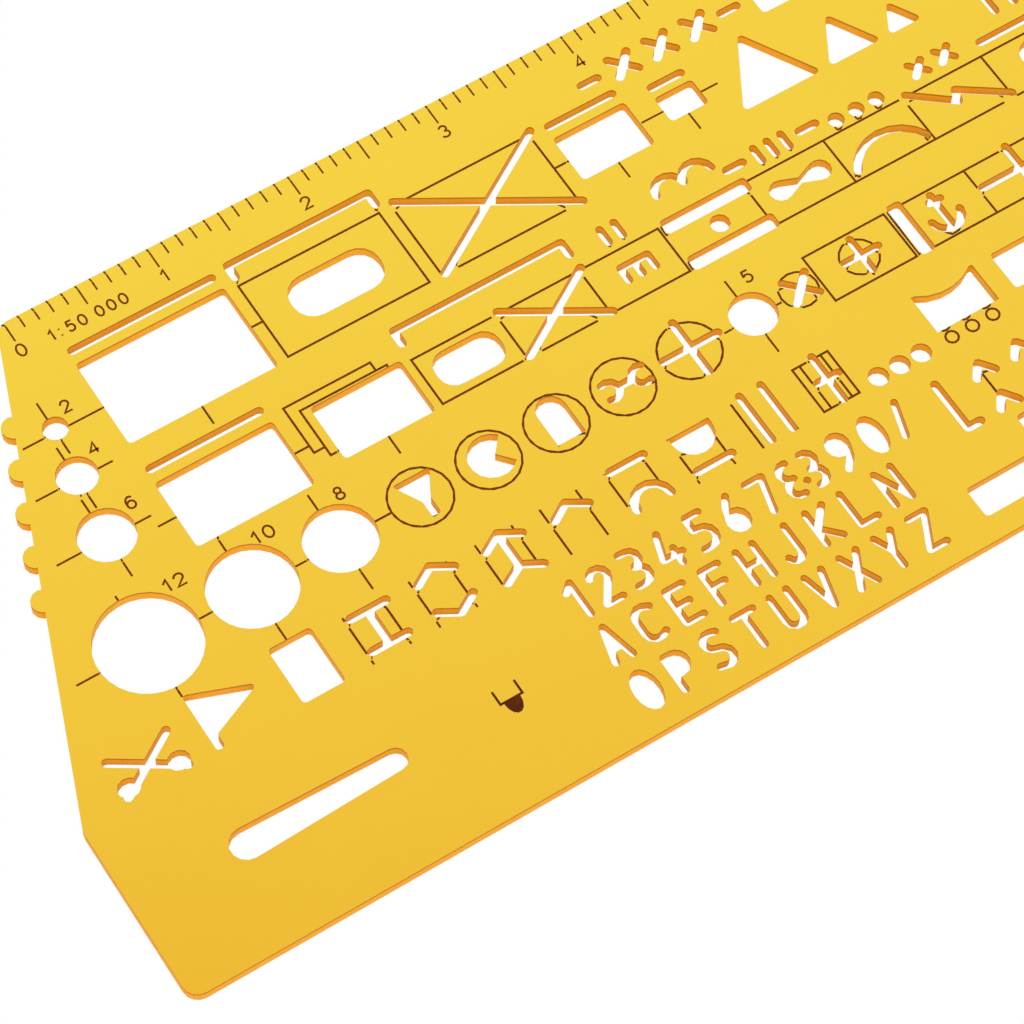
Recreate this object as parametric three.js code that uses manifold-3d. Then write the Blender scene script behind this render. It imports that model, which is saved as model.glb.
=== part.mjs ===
import * as THREE from 'three';
import { mergeVertices } from 'three/addons/utils/BufferGeometryUtils.js';
import Module from 'manifold-3d';

// A map symbol stencil: one flat sheet of clear amber plastic, cut through with drawing symbols, and
// printed on its underside with the frames, rings, cells and rails that the symbols stand in.
// Millimetres. On the sheet, x runs along the scale edge from the scale's zero mark, and y is 0 at that
// edge and negative below it. Z is up, and the printed side lies at z = 0.

const wasm = await Module();
wasm.setup();

// Driving dimensions
const sheet = {
  length: 175.2,
  width: 87.75,
  thickness: 1.6,
  zeroMark: 25.2,
  cornerRadius: 2,
  slantTop: -0.9,
  slantFoot: -63.6,
};
const sheetEnds = { left: -sheet.zeroMark, right: sheet.length - sheet.zeroMark, foot: -sheet.width };
const bump = { count: 5, radius: 1.55, first: -13.4, pitch: 5.53 };
const slot = 1.2;
const penAllowance = 1.26;
const windowCorner = 0.5;
const ink = { depth: 0.05, line: 0.28, clearance: 0.06 };
const overcut = 1;
const chordError = 0.06;
const fineError = 0.035;

// Outlines are lists of points
const point = (x, y) => new THREE.Vector2(x, y);

function arcSteps(radius, sweep, error = chordError) {
  const chordAngle = 2 * Math.acos(1 - Math.min(error / radius, 1));
  return Math.max(1, Math.ceil(Math.abs(sweep) / chordAngle - 0.02));
}

// Points on an arc between two angles in degrees, ends included
function arc(x, y, radius, from, to, radiusY = radius, error = chordError) {
  const start = THREE.MathUtils.degToRad(from);
  const sweep = THREE.MathUtils.degToRad(to - from);
  const steps = arcSteps(Math.max(radius, radiusY), sweep, error);
  const points = [];
  for (let i = 0; i <= steps; i++) {
    const angle = start + (sweep * i) / steps;
    points.push(point(x + radius * Math.cos(angle), y + radiusY * Math.sin(angle)));
  }
  return points;
}

function ellipse(x, y, radius, radiusY = radius, error = chordError) {
  return arc(x, y, radius, 0, 360, radiusY, error).slice(0, -1);
}

// An arc through two ends, standing up from their chord by rise, or hanging from it where rise < 0
function bow(x0, x1, y, rise) {
  const half = (x1 - x0) / 2;
  const radius = (half * half + rise * rise) / (2 * Math.abs(rise));
  const side = Math.sign(rise);
  const centreY = y + rise - side * radius;
  const reach = THREE.MathUtils.radToDeg(Math.atan2(half, side * (y - centreY)));
  return arc((x0 + x1) / 2, centreY, radius, side * (90 + reach), side * (90 - reach));
}

// A closed outline with each corner rounded
function rounded(corners, radius = windowCorner) {
  const points = [];
  corners.forEach((corner, i) => {
    const before = corners[(i + corners.length - 1) % corners.length];
    const after = corners[(i + 1) % corners.length];
    const inward = before.clone().sub(corner).normalize();
    const outward = after.clone().sub(corner).normalize();
    const half = Math.acos(THREE.MathUtils.clamp(inward.dot(outward), -1, 1)) / 2;
    const centre = inward.clone().add(outward).normalize();
    centre.multiplyScalar(radius / Math.sin(half)).add(corner);
    const first = corner.clone().addScaledVector(inward, radius / Math.tan(half)).sub(centre);
    const last = corner.clone().addScaledVector(outward, radius / Math.tan(half)).sub(centre);
    const sweep = Math.atan2(first.cross(last), first.dot(last));
    const steps = arcSteps(radius, sweep);
    for (let k = 0; k <= steps; k++) {
      points.push(first.clone().rotateAround(point(0, 0), (sweep * k) / steps).add(centre));
    }
  });
  return points;
}

function box(x0, y0, x1, y1) {
  return [point(x0, y0), point(x1, y0), point(x1, y1), point(x0, y1)];
}

// The outline of a pen line of one width along a path, with round or square ends and round corners
function line(path, width = slot, roundEnds = true) {
  const half = width / 2;
  const smoothTurn = THREE.MathUtils.degToRad(48);
  const outline = [];
  const side = (points) => {
    for (let i = 0; i < points.length; i++) {
      const along = (a, b) => points[b].clone().sub(points[a]).normalize();
      const before = i > 0 ? along(i - 1, i) : null;
      const after = i < points.length - 1 ? along(i, i + 1) : null;
      const normal = (direction) => point(direction.y, -direction.x).multiplyScalar(half);
      if (!before || !after) {
        outline.push(normal(before ?? after).add(points[i]));
        if (!after && roundEnds) {
          const start = normal(before);
          const steps = arcSteps(half, Math.PI);
          for (let k = 1; k < steps; k++) {
            outline.push(start.clone().rotateAround(point(0, 0), (Math.PI * k) / steps).add(points[i]));
          }
        }
        continue;
      }
      const turn = Math.atan2(before.cross(after), before.dot(after));
      if (turn > smoothTurn && roundEnds) {
        const steps = arcSteps(half, turn);
        for (let k = 0; k <= steps; k++) {
          outline.push(normal(before).rotateAround(point(0, 0), (turn * k) / steps).add(points[i]));
        }
      } else {
        const bisector = normal(before).add(normal(after)).normalize();
        outline.push(bisector.multiplyScalar(half / Math.cos(turn / 2)).add(points[i]));
      }
    }
  };
  side(path);
  side([...path].reverse());
  return outline;
}

const straight = (x0, y0, x1, y1, width = slot) => line([point(x0, y0), point(x1, y1)], width);

// The same outlines moved to another place
const moved = (outlines, x, y) => outlines.map((outline) => outline.map((p) => p.clone().add(point(x, y))));

// Solids
function solidOf(geometry) {
  geometry.deleteAttribute('normal');
  geometry.deleteAttribute('uv');
  const merged = mergeVertices(geometry, 1e-5);
  return new wasm.Manifold(new wasm.Mesh({
    numProp: 3,
    vertProperties: new Float32Array(merged.attributes.position.array),
    triVerts: new Uint32Array(merged.index.array),
  }));
}

function prism(outline, bottom, top, hole = null) {
  const shape = new THREE.Shape(outline);
  if (hole) shape.holes.push(new THREE.Path(hole));
  const geometry = new THREE.ExtrudeGeometry(shape, { depth: top - bottom, bevelEnabled: false });
  geometry.translate(0, 0, bottom);
  return solidOf(geometry);
}

const joined = (solids) => solids.reduce((sum, solid) => sum.add(solid));

function meshOf(name, solid, material) {
  const { vertProperties, triVerts } = solid.getMesh();
  const geometry = new THREE.BufferGeometry();
  geometry.setAttribute('position', new THREE.BufferAttribute(vertProperties, 3));
  geometry.setIndex(new THREE.BufferAttribute(triVerts, 1));
  const mesh = new THREE.Mesh(geometry, material);
  mesh.name = name;
  return mesh;
}

// The sheet's blank, with its slanted end and the round bumps for dashed edges
function sheetBlank() {
  const slope = (sheetEnds.left - sheet.slantTop) / sheet.slantFoot;
  const corners = [
    point(sheet.slantTop, 0),
    point(sheetEnds.left, sheet.slantFoot),
    point(sheetEnds.left, sheetEnds.foot),
    point(sheetEnds.right, sheetEnds.foot),
    point(sheetEnds.right, 0),
  ];
  const parts = [prism(rounded(corners, sheet.cornerRadius), 0, sheet.thickness)];
  for (let i = 0; i < bump.count; i++) {
    const y = bump.first - i * bump.pitch;
    parts.push(prism(ellipse(sheet.slantTop + slope * y, y, bump.radius), 0, sheet.thickness));
  }
  return joined(parts);
}

// Every cut symbol is a list of outlines that run into each other
const cuts = [];
const cut = (...outlines) => cuts.push(outlines);

// Row three, from its first ring to its last window: each place is set off from the one before it
const ringRow = { y: -46.5, radius: 4.03, first: 30.35, pitch: 9.57 };
const ringX = (i) => ringRow.first + i * ringRow.pitch;
const step = { cross: 0.02, hole: 9.1, saltire: 7, band: 2.95, cell: 12.12, middle: 6.05, last: 12.4 };
const ringCross = { x: ringX(4) + step.cross, y: ringRow.y - 0.1, half: 3.95 };
const fifthHole = { size: 5, x: ringCross.x + step.hole };
const ringSaltire = { x: fifthHole.x + step.saltire, y: ringRow.y - 0.15, half: 1.68, width: 1.1 };
const lowBand = { top: ringRow.y + 3.7, foot: ringRow.y - 3.5, left: ringSaltire.x + step.band };
const lowWall = (i) => lowBand.left + i * step.cell;
const cellCross = { x: lowBand.left + step.middle, y: ringRow.y - 0.1, half: 2.5, width: 1.1 };
const anchor = { x: lowWall(1) + step.middle - 0.02, top: ringRow.y + 2.45, foot: ringRow.y - 2.7 };
const wideCross = { x: lowWall(2) + step.middle + 0.01, y: ringRow.y, halfX: 5.9, halfY: 3.45 };

// Round holes: their size is the drawn circle and the pen's allowance
const holeRow = { y: -46.7, tangent: -0.25, web: 1.76 };
function addHole(size, x, y) {
  const radius = (size + penAllowance) / 2;
  cut(ellipse(x, y, radius, radius, fineError));
}
const smallHoles = [{ size: 2, y: -16.1 }, { size: 4, y: -23.05 }, { size: 6, y: -31.85 }];
for (const { size, y } of smallHoles) {
  addHole(size, holeRow.tangent - (size + penAllowance) / 2, y);
}
let holeEdge = holeRow.tangent - 12 - penAllowance;
for (const size of [12, 10, 8]) {
  const radius = (size + penAllowance) / 2;
  addHole(size, holeEdge + radius, holeRow.y);
  holeEdge += 2 * radius + holeRow.web;
}
addHole(fifthHole.size, fifthHole.x, holeRow.y);
addHole(10, 139.5, -14.2);
addHole(6, 140.2, -58.9);

// Windows, with the line slot that is drawn over some of them
const windows = [
  { name: 'window_1', left: 4.5, right: 25.15, top: -9.65, foot: -22.65, over: -7.78 },
  { name: 'window_2', left: 4.3, right: 20.5, top: -28.8, foot: -38.87, over: -26.85 },
  { name: 'window_3', left: 70.75, right: 81.35, top: -12.5, foot: -19.68, over: -10.7 },
  { name: 'window_4', left: 84.8, right: 90.4, top: -14.07, foot: -18.14, over: -12.55 },
  { name: 'window_5', left: 25.2, right: 37.9, top: -29.7, foot: -37.9 },
  { name: 'window_6', left: 4.3, right: 10.05, top: -54.8, foot: -63 },
  { name: 'window_7', left: 103.8, right: 113.4, top: -5.9, foot: -10.5 },
  { name: 'window_8', left: 107.05, right: 115.2, top: -54.95, foot: -60.6 },
  { name: 'window_9', left: 85.45, right: 106, top: -80.2, foot: -84.6 },
  { name: 'window_10', left: 96.4, right: 106, top: -75.2, foot: -77.4 },
  { name: 'window_11', left: 119.5, right: 130.1, top: -8.4, foot: -15.5, over: -6.55 },
  { name: 'bar_upper', left: 75.2, right: 87.85, top: -29.6, foot: -31.8 },
  { name: 'bar_lower', left: 75.2, right: 87.85, top: -35.7, foot: -37.93 },
  {
    name: 'bar_upright',
    left: lowWall(1) + 0.23,
    right: lowWall(1) + 2.38,
    top: lowBand.top + 0.25,
    foot: lowBand.foot - 0.67,
  },
];
const windowOf = (name) => windows.find((item) => item.name === name);
for (const { left, right, top, foot, over } of windows) {
  cut(rounded(box(left, foot, right, top)));
  if (over) cut(straight(left + slot / 2, over, right - slot / 2, over));
}

// Round-ended windows in frames
const stadium = { x: 37.15, y: -16.2, halfLength: 6.27, halfHeight: 3.12, corner: 2.8 };
const oval = { x: 45.13, y: -33.83, halfLength: 4.57, halfHeight: 2.63, corner: 2.2 };
const lowStadium = {
  x: wideCross.x + step.last,
  y: ringRow.y + 0.1,
  halfLength: 4.4,
  halfHeight: 2.4,
  corner: 2.2,
};
for (const { x, y, halfLength, halfHeight, corner } of [stadium, oval, lowStadium]) {
  cut(rounded(box(x - halfLength, y - halfHeight, x + halfLength, y + halfHeight), corner));
}

// Crosses: two line slots from corner to corner, or upright
const diagonal = (x, y, halfX, halfY, width = slot) => [
  straight(x - halfX, y + halfY, x + halfX, y - halfY, width),
  straight(x - halfX, y - halfY, x + halfX, y + halfY, width),
];
const upright = (x, y, halfX, halfY, width = slot) => [
  straight(x - halfX, y, x + halfX, y, width),
  straight(x, y - halfY, x, y + halfY, width),
];
const largeCross = { x: 59.05, y: -16.05, halfX: 10, halfY: 6.05 };
const smallCross = { x: 57.5, y: -33.77, halfX: 6.02, halfY: 3.65 };
const boxCross = { x: 80.3, y: -58.9, halfX: 1.5, halfY: 3.45, width: 1.1 };
cut(...diagonal(largeCross.x, largeCross.y, largeCross.halfX, largeCross.halfY));
cut(...diagonal(smallCross.x, smallCross.y, smallCross.halfX, smallCross.halfY));
cut(...upright(ringCross.x, ringCross.y, ringCross.half, ringCross.half));
cut(...diagonal(ringSaltire.x, ringSaltire.y, ringSaltire.half, ringSaltire.half, ringSaltire.width));
cut(...upright(cellCross.x, cellCross.y, cellCross.half, cellCross.half, cellCross.width));
cut(...upright(wideCross.x, wideCross.y, wideCross.halfX, wideCross.halfY));
cut(...upright(boxCross.x, boxCross.y, boxCross.halfX, boxCross.halfY, boxCross.width));
for (let i = 0; i < 3; i++) cut(...diagonal(84.4 + 5.6 * i, -7.66, 1.42, 1.47));
for (let i = 0; i < 2; i++) cut(...diagonal(115.6 + 4.05 * i, -27.65, 0.97, 0.97, 1.05));

// Brackets over the framed windows
function bracket(left, right, top, legs) {
  const foot = top - legs;
  cut(line([point(left, foot), point(left, top), point(right, top), point(right, foot)], 1.15));
}
bracket(27.1, 47.1, -7.25, 1.9);
bracket(39.37, 63.4, -25.83, 2);

// Triangles on one base line
const triangleBase = -21.6;
for (const { x, side } of [{ x: 99.2, side: 11.9 }, { x: 110.3, side: 8 }, { x: 118, side: 5.2 }]) {
  const apex = triangleBase + side * Math.sin(Math.PI / 3);
  cut(rounded([point(x - side / 2, triangleBase), point(x + side / 2, triangleBase), point(x, apex)]));
}

// Dashes and short upright slots
for (const [x, y] of [[79.3, -7.73], [100.3, -7.7], [87.7, -27.77], [98.65, -27.7]]) {
  cut(straight(x - 1.2, y, x + 1.2, y));
}
for (const x of [68.45, 70.5, 91.15, 93.2, 95.25]) cut(straight(x, -26.75, x, -28.88, 1.08));
for (const x of [129, 131.95, 134.9]) cut(straight(x, -22.3, x, -25.55));
cut(straight(124.5, -28.55, 135.3, -28.55));

// Rows of dots
const dotRow = (x, y, pitch, diameter) => {
  for (let i = 0; i < 3; i++) cut(ellipse(x + pitch * i, y, diameter / 2, diameter / 2, fineError));
};
dotRow(102.4, -28.65, 3.03, 2.2);
dotRow(85.6, -61.97, 3.15, 2.68);
cut(ellipse(81.57, -33.73, 1.32));
cut(ellipse(129.75, -33.6, 2.3));

// Symbols in the second row
cut(
  straight(67.58, -32.75, 71.5, -32.75, 1.05),
  straight(67.58, -32.75, 67.58, -34.75, 1.05),
  straight(69.54, -32.75, 69.54, -34.75, 1.05),
  straight(71.5, -32.75, 71.5, -34.75, 1.05),
);
cut(line(bow(77.1, 81.15, -26.35, 1.95), 1.05), line(bow(81.15, 85.25, -26.35, 1.95), 1.05));
cut(
  ellipse(90.6, -33.72, 1.5),
  ellipse(96.5, -33.72, 1.5),
  [point(91.1, -32.28), point(93.5, -33.25), point(96, -32.28), point(96, -35.15), point(93.5, -34.15),
    point(91.1, -35.15)],
);
const archSlot = { left: 100.4, right: 110.8, foot: -36.37, rise: 3.25 };
cut(line(bow(archSlot.left, archSlot.right, archSlot.foot, archSlot.rise), 1.1));
const flash = { left: 111.85, top: -30.2, right: 123.5, foot: -36.85 };
cut(line([point(flash.left, flash.top), point(117.05, -34.35), point(117.65, -32.75),
  point(flash.right, flash.foot)], 1.15));

// Symbols in the rings of the third row
const smallRing = { y: ringRow.y + 0.17, radius: 2.55 };
const funnel = {
  x: ringX(0) + 0.15,
  top: ringRow.y + 2.5,
  mouth: 2.45,
  stem: 0.6,
  neck: ringRow.y - 1.2,
  foot: ringRow.y - 3.45,
};
cut(rounded([
  point(funnel.x - funnel.mouth - 0.2, funnel.top),
  point(funnel.x + funnel.mouth + 0.2, funnel.top),
  point(funnel.x + funnel.stem, funnel.neck),
  point(funnel.x + funnel.stem, funnel.foot),
  point(funnel.x - funnel.stem, funnel.foot),
  point(funnel.x - funnel.stem, funnel.neck),
], 0.25));
const wedgeDisc = { x: ringX(1) + 0.28, y: ringRow.y - 0.17, radius: 3.03, mouth: 42 };
cut([...arc(wedgeDisc.x, wedgeDisc.y, wedgeDisc.radius, wedgeDisc.mouth, 360 - wedgeDisc.mouth),
  point(wedgeDisc.x + 0.5, wedgeDisc.y)]);
const dome = { x: ringX(2) + 0.14, halfWidth: 1.97, spring: ringRow.y + 1.4, foot: ringRow.y - 3.2 };
cut([point(dome.x - dome.halfWidth, dome.foot), point(dome.x + dome.halfWidth, dome.foot),
  ...arc(dome.x, dome.spring, dome.halfWidth, 0, 180)]);
const spanner = {
  x: ringX(3) + 0.24,
  y: ringRow.y - 0.13,
  jaw: 2.3,
  jawRadius: 1.28,
  reach: 118,
  width: 0.95,
};
const jaw = (side, facing) => {
  const { x, y, jawRadius, reach, width } = spanner;
  return line(arc(x + side * spanner.jaw, y, jawRadius, facing - reach, facing + reach), width);
};
cut(
  jaw(-1, 0),
  jaw(1, 180),
  straight(spanner.x - 1, spanner.y, spanner.x + 1, spanner.y, 1.15),
);
cut(
  straight(anchor.x, anchor.top, anchor.x, anchor.foot, 1.1),
  straight(anchor.x - 0.75, anchor.top - 0.9, anchor.x + 0.87, anchor.top - 0.9, 1.1),
  line(arc(anchor.x, anchor.foot + 2, 2.1, 186, 354), 1.1),
);

// Crossed paddles and the flag at the left
const paddles = { x: -14.75, y: -60.05, halfX: 3.95, halfY: 2.55, bladeX: 3.28, bladeY: -1.53 };
cut(
  ...diagonal(paddles.x, paddles.y, paddles.halfX, paddles.halfY, 1.15),
  ellipse(paddles.x - paddles.bladeX, paddles.y + paddles.bladeY, 1.45, 1.28),
  ellipse(paddles.x + paddles.bladeX, paddles.y + paddles.bladeY, 1.45, 1.28),
);
cut(rounded([point(-7.15, -54.6), point(1.3, -57.85), point(-6.05, -61.05), point(-6.05, -62.9),
  point(-7.15, -62.9)], 0.4));

// Symbols that stand between printed rails
const railRow = { top: -55.4, foot: -62.5 };
const chevron = (x, apex, drop, left = 2.5, right = 2.55) => line([
  point(x - left, apex - drop * (left / right)),
  point(x, apex),
  point(x + right, apex - drop),
], 1.15);
cut(straight(14.52, -56.45, 19.4, -56.45), straight(14.52, -61.4, 19.4, -61.4),
  straight(16.9, -56.45, 16.9, -61.4));
cut(chevron(26.02, -55.42, 1.5));
cut(chevron(26.02, -62.5, -1.5));
cut(chevron(35.15, -55.9, 1.45), chevron(35.15, -60.75, 1.4), straight(35.15, -55.9, 35.15, -60.75));
cut(chevron(44.13, -56.65, 1.5, 2.35, 2.45));
cut(straight(50.85, -56, 55.6, -56));
cut(line(bow(50.85, 55.65, -62, 2.4), 1.15));
cut([...arc(62.1, -56.75, 2.88, -180, 0), point(64.98, -55.86), point(59.22, -55.86)]);
cut(straight(59.8, -61.4, 64.7, -61.4));
for (const x of [69.78, 72.85]) cut(straight(x, -55.45, x, -62.45, 1.1));

// The sagging window and the slots at the right of the lower rows
const sagWindow = { left: 95.25, right: 104.4, top: -54.95, foot: -60.7, sag: 1.3 };
const sagCurve = bow(sagWindow.left + 0.5, sagWindow.right - 0.5, sagWindow.top, -sagWindow.sag);
cut([point(sagWindow.left, sagWindow.foot), point(sagWindow.right, sagWindow.foot),
  point(sagWindow.right, sagWindow.top), ...sagCurve.reverse(), point(sagWindow.left, sagWindow.top)]);
cut(line([point(90.7, -66.5), point(90.7, -73.45), point(92.5, -73.45)]));
const chevronPair = { left: 96.88, right: 102.5, upper: -66.75, lower: -71.62 };
for (const x of [chevronPair.left, chevronPair.right]) {
  cut(chevron(x, chevronPair.upper, 1.75, 1.35, 1.35));
  cut(chevron(x, chevronPair.lower, 1.83, 1.35, 1.35));
}

// Tapered hanging slots, round at both ends
function taperedSlot(x0, x1, y, radius0, radius1) {
  const lean = THREE.MathUtils.radToDeg(Math.asin((radius0 - radius1) / Math.abs(x1 - x0)));
  const facing = x1 > x0 ? 0 : 180;
  cut([
    ...arc(x1, y, radius1, facing - 90 + lean, facing + 90 - lean),
    ...arc(x0, y, radius0, facing + 90 - lean, facing + 270 + lean),
  ]);
}
taperedSlot(-10.2, 9.55, -74.56, 2.1, 1.5);
taperedSlot(143, 123.2, -74.56, 2.1, 1.5);
cut(rounded([point(119.6, -54.9), point(129.6, -54.9), point(124.6, -63.2)]));

// Numerals and letters, each drawn by one pen line from its lower left corner
const glyph = { height: 4.7, width: 2.35, pen: 0.98 };
const stick = (...pairs) => line(pairs.map(([x, y]) => point(x, y)), glyph.pen);
const curve = (points) => line(points, glyph.pen);
const full = glyph.width;
const mid = glyph.width / 2;
const cap = glyph.height;
const glyphAt = (x, y, outlines) => cut(...moved(outlines, x, y));
const numeralFoot = -70.6;
const numerals = [
  [37.69, [stick([0, 3.7], [1.05, cap], [1.05, 0])]],
  [40.99, [curve([...arc(1.1, 3.55, 1.12, 165, -35), point(0.05, 0), point(2.25, 0)])]],
  [45.44, [curve([point(0.05, cap), ...arc(0.95, 3.55, 1.12, 90, -90)]),
    curve([...arc(0.95, 1.2, 1.2, 90, -90), point(0, 0)])]],
  [49.79, [stick([1.1, cap], [0, 1.3], [2.6, 1.3]), stick([1.85, 2.2], [1.85, 0])]],
  [54.74, [curve([point(2.05, cap), point(0.2, cap), point(0.2, 2.8), ...arc(0.9, 1.4, 1.4, 90, -90),
    point(0, 0)])]],
  [59.19, [curve([point(1.5, cap), point(0.7, 3.3), point(0.2, 1.7)]), ellipse(1.15, 1.25, 1.6, 1.75)]],
  [63.49, [stick([0, cap], [2.3, cap], [1.1, 0])]],
  [74.89, [curve([point(0.45, 0), point(1.6, 1.4), point(2.15, 3)]), ellipse(1.1, 3.45, 1.6, 1.75)]],
  [79.25, [ellipse(1.2, 2.35, 1.6, 2.84)]],
  [83.7, [stick([0, 0.15], [1.42, cap])]],
];
for (const [x, outlines] of numerals) glyphAt(x, numeralFoot, outlines);

// The eight is cut in two halves, so its two centres stay joined to the sheet
glyphAt(67.79, numeralFoot, [
  curve(arc(1.12, 3.58, 1.12, 78, 250)),
  curve(arc(1.12, 1.22, 1.2, 110, 282)),
  stick([0.8, 2.42], [1.2, 2.42]),
]);
glyphAt(71.45, numeralFoot, [
  curve(arc(0.05, 3.58, 1.12, 102, -70)),
  curve(arc(0.05, 1.22, 1.2, 70, -102)),
  stick([-0.05, 2.42], [0.35, 2.42]),
]);
cut(ellipse(70.2, -69.25, 0.52));

const legs = [stick([0, 0], [mid, cap], [full, 0])];
const letters = {
  A: [...legs, [point(0.25, 1.2), point(full - 0.25, 1.2), point(mid, cap)]],
  C: [curve([point(full, 4.2), ...arc(1.25, 3.35, 1.25, 75, 180), ...arc(1.25, 1.35, 1.25, 180, 285),
    point(full, 0.5)])],
  E: [stick([full, cap], [0, cap], [0, 0], [full, 0]), stick([0, 2.4], [1.9, 2.4])],
  F: [stick([full, cap], [0, cap], [0, 0]), stick([0, 2.4], [1.9, 2.4])],
  H: [stick([0, 0], [0, cap]), stick([full, 0], [full, cap]), stick([0, 2.4], [full, 2.4])],
  J: [curve([point(1.9, cap), point(1.9, 1), ...arc(0.95, 0.95, 0.95, 0, -170)])],
  K: [stick([0, 0], [0, cap]), stick([full, cap], [0.2, 2.2], [full, 0])],
  L: [stick([0, cap], [0, 0], [full, 0])],
  N: [stick([0, 0], [0, cap], [full, 0], [full, cap])],
  O: [ellipse(mid, 2.35, 1.72, 2.84)],
  P: [stick([0, 0], [0, cap]), [point(0, 5.18), ...arc(0.9, 3.4, 1.78, 90, -90), point(0, 1.62)]],
  S: [curve([point(2.1, 4.45), ...arc(1.1, 3.6, 1.1, 75, 240), ...arc(1.2, 1.2, 1.2, 60, -120),
    point(0.1, 0.25)])],
  T: [stick([-0.2, cap], [full + 0.2, cap]), stick([mid, cap], [mid, 0])],
  U: [curve([point(0, cap), ...arc(mid, mid, mid, 180, 360), point(full, cap)])],
  V: [stick([0, cap], [mid, 0], [full, cap])],
  X: [stick([0, 0], [full, cap]), stick([0, cap], [full, 0])],
  Y: [stick([0, cap], [mid, 2.2], [full, cap]), stick([mid, 2.2], [mid, 0])],
  Z: [stick([0, cap], [full, cap], [0, 0], [full, 0])],
};
const letterRows = [{ foot: -77.55, text: 'ACEFHJKLN' }, { foot: -84.65, text: 'OPSTUVXYZ' }];
const letterPitch = 4.95;
for (const { foot, text } of letterRows) {
  [...text].forEach((letter, i) => glyphAt(numerals[0][0] + i * letterPitch, foot, letters[letter]));
}

// Printed figures: bodies of ink let into the underside, kept clear of every cut
const prints = [];
const inkPrism = (outline, hole) => prism(outline, 0, ink.depth, hole);
const inkLine = (...pairs) => inkPrism(line(pairs.map(([x, y]) => point(x, y)), ink.line, false));
const print = (name, ...solids) => prints.push({ name, solid: joined(solids) });
const edge = ink.line / 2;
const inkFrame = (left, foot, right, top) => inkPrism(
  box(left - edge, foot - edge, right + edge, top + edge),
  box(left + edge, foot + edge, right - edge, top - edge),
);
function inkRing(x, y, radius, error = chordError) {
  const outer = radius + edge;
  const inner = radius - edge;
  return inkPrism(ellipse(x, y, outer, outer, error), ellipse(x, y, inner, inner, error));
}
const inkArc = (x, y, radius, from, to) => inkPrism([
  ...arc(x, y, radius + edge, from, to),
  ...arc(x, y, radius - edge, to, from),
]);

// Row one: the frame of the stadium, and the frame that the large cross stands in
const rowOne = { axis: -15.8, frameTop: -9.93, frameFoot: -21.7 };
const stadiumFrame = { left: 27, right: 47.1 };
print(
  'print_stadium_frame',
  inkFrame(stadiumFrame.left, rowOne.frameFoot, stadiumFrame.right, rowOne.frameTop),
  inkLine([windowOf('window_1').right + ink.clearance, rowOne.axis],
    [stadiumFrame.left - edge, rowOne.axis]),
);

// The four sides of the frame around a diagonal cross, each kept clear of the cross's slots
function crossFrame(name, cross, sides, stubTo = null) {
  const slope = cross.halfY / cross.halfX;
  const steepness = Math.hypot(1, slope);
  const gap = (slot / 2 + ink.clearance) * steepness;
  const reach = (y) => (Math.abs(y - cross.y) - gap - edge) / slope;
  const rise = (x) => Math.min(slope * Math.abs(x - cross.x), cross.halfY) - gap - edge * slope;
  const { left, right, top, foot } = sides;
  print(`${name}_top`, inkLine([cross.x - reach(top), top], [cross.x + reach(top), top]));
  print(`${name}_foot`, inkLine([cross.x - reach(foot), foot], [cross.x + reach(foot), foot]));
  print(`${name}_left`, inkLine([left, cross.y + rise(left)], [left, cross.y - rise(left)]));
  const rightSide = [inkLine([right, cross.y + rise(right)], [right, cross.y - rise(right)])];
  if (stubTo) rightSide.push(inkLine([right + edge, rowOne.axis], [stubTo, rowOne.axis]));
  print(`${name}_right`, ...rightSide);
}
crossFrame('print_large_cross', largeCross, {
  left: largeCross.x - largeCross.halfX - 0.13,
  right: largeCross.x + largeCross.halfX - 0.1,
  top: rowOne.frameTop,
  foot: rowOne.frameFoot,
}, windowOf('window_3').left - ink.clearance);

// Two frames that stand behind the fifth window, like sheets in a stack
const stack = { left: 22.77, top: -27.58, right: 34.97, foot: -34.73, stepX: 1.52, stepY: -1.33 };
const front = windowOf('window_5');
const inner = {
  left: stack.left + stack.stepX,
  right: stack.right + stack.stepX,
  top: stack.top + stack.stepY,
  foot: stack.foot + stack.stepY,
};
print(
  'print_stacked_frames',
  inkLine([inner.left - edge, stack.foot], [stack.left, stack.foot], [stack.left, stack.top],
    [stack.right, stack.top], [stack.right, inner.top + edge]),
  inkLine([front.left - ink.clearance, inner.foot], [inner.left, inner.foot], [inner.left, inner.top],
    [inner.right, inner.top], [inner.right, front.top + ink.clearance]),
  inkLine([windowOf('window_2').right + ink.clearance, -33.63], [stack.left - edge, -33.63]),
);

// The long band of cells in row two
const band = { top: -29.9, foot: -37.12, first: 39.35, cell: 12.06 };
const wall = (i) => band.first + i * band.cell;
const level = (x0, x1, y) => inkLine([x0, y], [x1, y]);
const post = (x, y0, y1) => inkLine([x, y0], [x, y1]);
const endGap = slot / 2 + ink.clearance;
print(
  'print_oval_cell',
  inkLine(
    [smallCross.x - smallCross.halfX - endGap, band.top], [band.first, band.top],
    [band.first, band.foot], [smallCross.x - smallCross.halfX - endGap, band.foot],
  ),
);
crossFrame('print_small_cross', smallCross, {
  left: wall(1), right: wall(2), top: band.top, foot: band.foot,
});
const bars = windowOf('bar_upper');
const barsFoot = windowOf('bar_lower');
const combWall = bars.left - ink.clearance - edge;
print(
  'print_comb_cell',
  inkLine(
    [smallCross.x + smallCross.halfX + endGap, band.top], [combWall, band.top],
    [combWall, band.foot], [smallCross.x + smallCross.halfX + endGap, band.foot],
  ),
);
print('print_bar_post', post(wall(4) - 0.1, bars.foot - ink.clearance, barsFoot.top + ink.clearance));
const flashGap = 1.15 / 2 + ink.clearance;
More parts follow.
